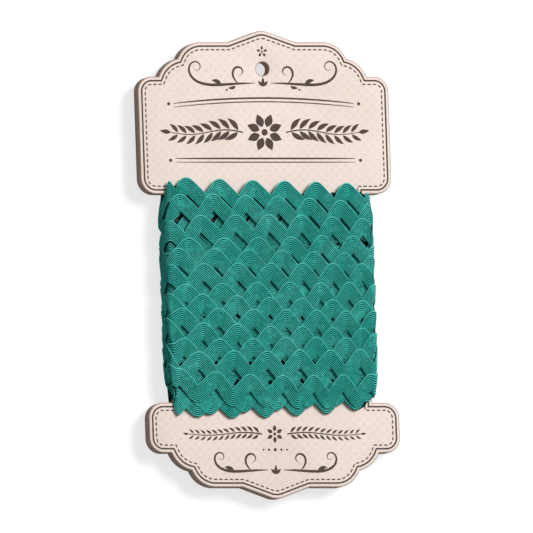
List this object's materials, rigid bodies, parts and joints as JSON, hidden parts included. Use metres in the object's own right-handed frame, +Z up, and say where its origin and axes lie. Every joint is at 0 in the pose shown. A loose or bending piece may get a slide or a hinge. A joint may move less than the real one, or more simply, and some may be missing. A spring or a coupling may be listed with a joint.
{
  "type": "ric rac wound on a display card",
  "caption": "Wavy ric rac braid wound in overlapping rows round the narrow neck of a scalloped die-cut display card with a hanging hole, lying on its back.",
  "frame": {"origin": "on the surface it lies on, under the centre of the whole card", "axes": "+Y towards the card's head, +X to the right of its printed face, +Z up out of that face"},
  "size_m": [0.1284, 0.2262, 0.0139],
  "materials": {
    "board": "matt printed board, pale pinkish cream face, brown cut edge",
    "braid": "matt ribbed cotton braid, teal green",
    "print": "matt dark brown print"
  },
  "bodies": {
    "root": {"card": "board", "ric_rac_winding": "braid"}
  },
  "joints": []
}
